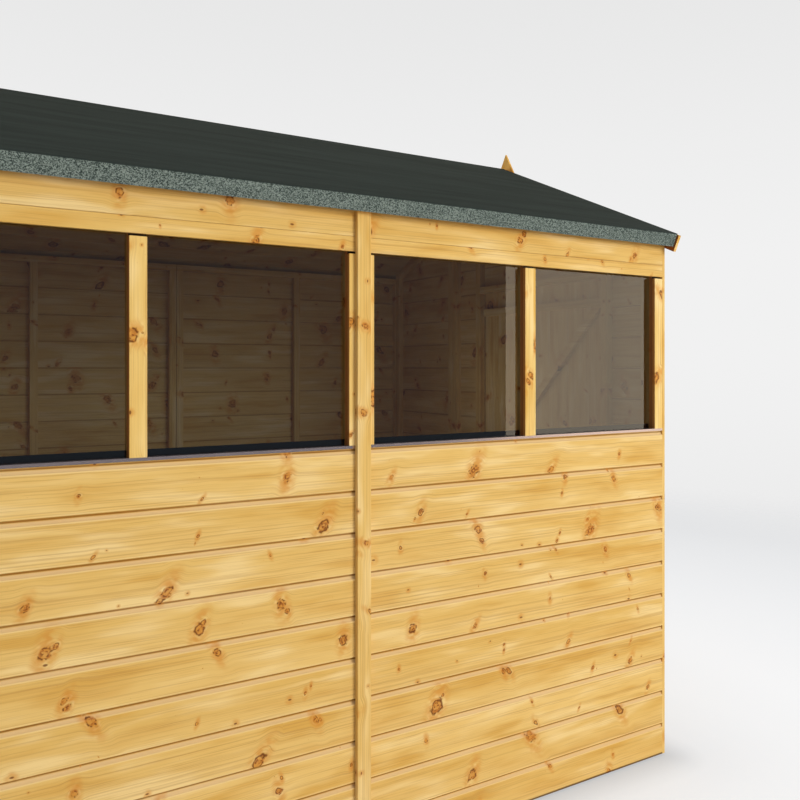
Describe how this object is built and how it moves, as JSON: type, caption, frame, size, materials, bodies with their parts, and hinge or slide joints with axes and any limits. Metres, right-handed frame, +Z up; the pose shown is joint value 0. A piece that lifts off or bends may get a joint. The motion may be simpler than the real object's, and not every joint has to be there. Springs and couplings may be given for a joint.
{
  "type": "wooden garden shed",
  "caption": "Apex garden shed of shiplap pine on light frames, with a row of fixed windows along one side, a hinged ledged door in one gable and a green felted roof.",
  "frame": {"origin": "centre of the shed's footprint box at ground level, under the middle joist", "axes": "+X along the shed towards the door gable, -Y towards the windowed side, +Z up"},
  "size_m": [2.472, 1.9224, 2.3065],
  "materials": {
    "cladding_pine": "honey-coloured treated pine shiplap, satin",
    "trim_pine": "smooth planed honey pine",
    "frame_pine": "sawn honey pine",
    "roof_pine": "tongued roof boards, sawn",
    "floor_pine": "tongued floor boards, sawn",
    "sill_timber": "grey-lilac sealed sill timber, matt",
    "dark_bead": "black glazing tape, satin",
    "window_glass": "clear horticultural glazing",
    "green_felt": "dark green mineral roofing felt",
    "black_iron": "black japanned iron"
  },
  "bodies": {
    "shed": {"back_wall_cladding_left": "cladding_pine", "back_wall_cladding_right": "cladding_pine", "back_wall_rails": "frame_pine", "back_wall_studs": "frame_pine", "bargeboards_door_gable": "trim_pine", "bargeboards_rear_gable": "trim_pine", "door_bolt_keeper": "black_iron", "door_gable_cladding_hinge_side": "cladding_pine", "door_gable_cladding_latch_side": "cladding_pine", "door_gable_cladding_narrow": "cladding_pine", "door_gable_cladding_over_door": "cladding_pine", "door_gable_posts": "frame_pine", "door_gable_rails": "frame_pine", "door_hinge_plates": "black_iron", "finials": "trim_pine", "floor_boards": "floor_pine", "floor_joists": "floor_pine", "gable_cover_strips": "trim_pine", "rear_gable_cladding_narrow": "cladding_pine", "rear_gable_cladding_wide": "cladding_pine", "rear_gable_posts": "frame_pine", "rear_gable_rails": "frame_pine", "roof_battens": "frame_pine", "roof_boards_back_side": "roof_pine", "roof_boards_window_side": "roof_pine", "roof_felt_back_side": "green_felt", "roof_felt_window_side": "green_felt", "side_wall_cover_strips": "trim_pine", "window_glazing_beads": "dark_bead", "window_head_trims": "trim_pine", "window_panes_left": "window_glass", "window_panes_right": "window_glass", "window_sills": "sill_timber", "window_stiles": "trim_pine", "window_wall_cladding_left": "cladding_pine", "window_wall_cladding_right": "cladding_pine", "window_wall_friezes": "trim_pine", "window_wall_rails": "frame_pine", "window_wall_studs": "frame_pine"},
    "door": {"door_boards": "cladding_pine", "door_ledges": "frame_pine", "door_braces": "frame_pine", "door_hinge_straps": "black_iron", "door_pad_bolt": "black_iron"}
  },
  "joints": [
    {"name": "door_hinge", "type": "hinge", "parent": "shed", "child": "door", "pos_m": [1.225, 0.141, 0.9], "axis": [0, 0, 1], "range_deg": [0, 165]}
  ]
}
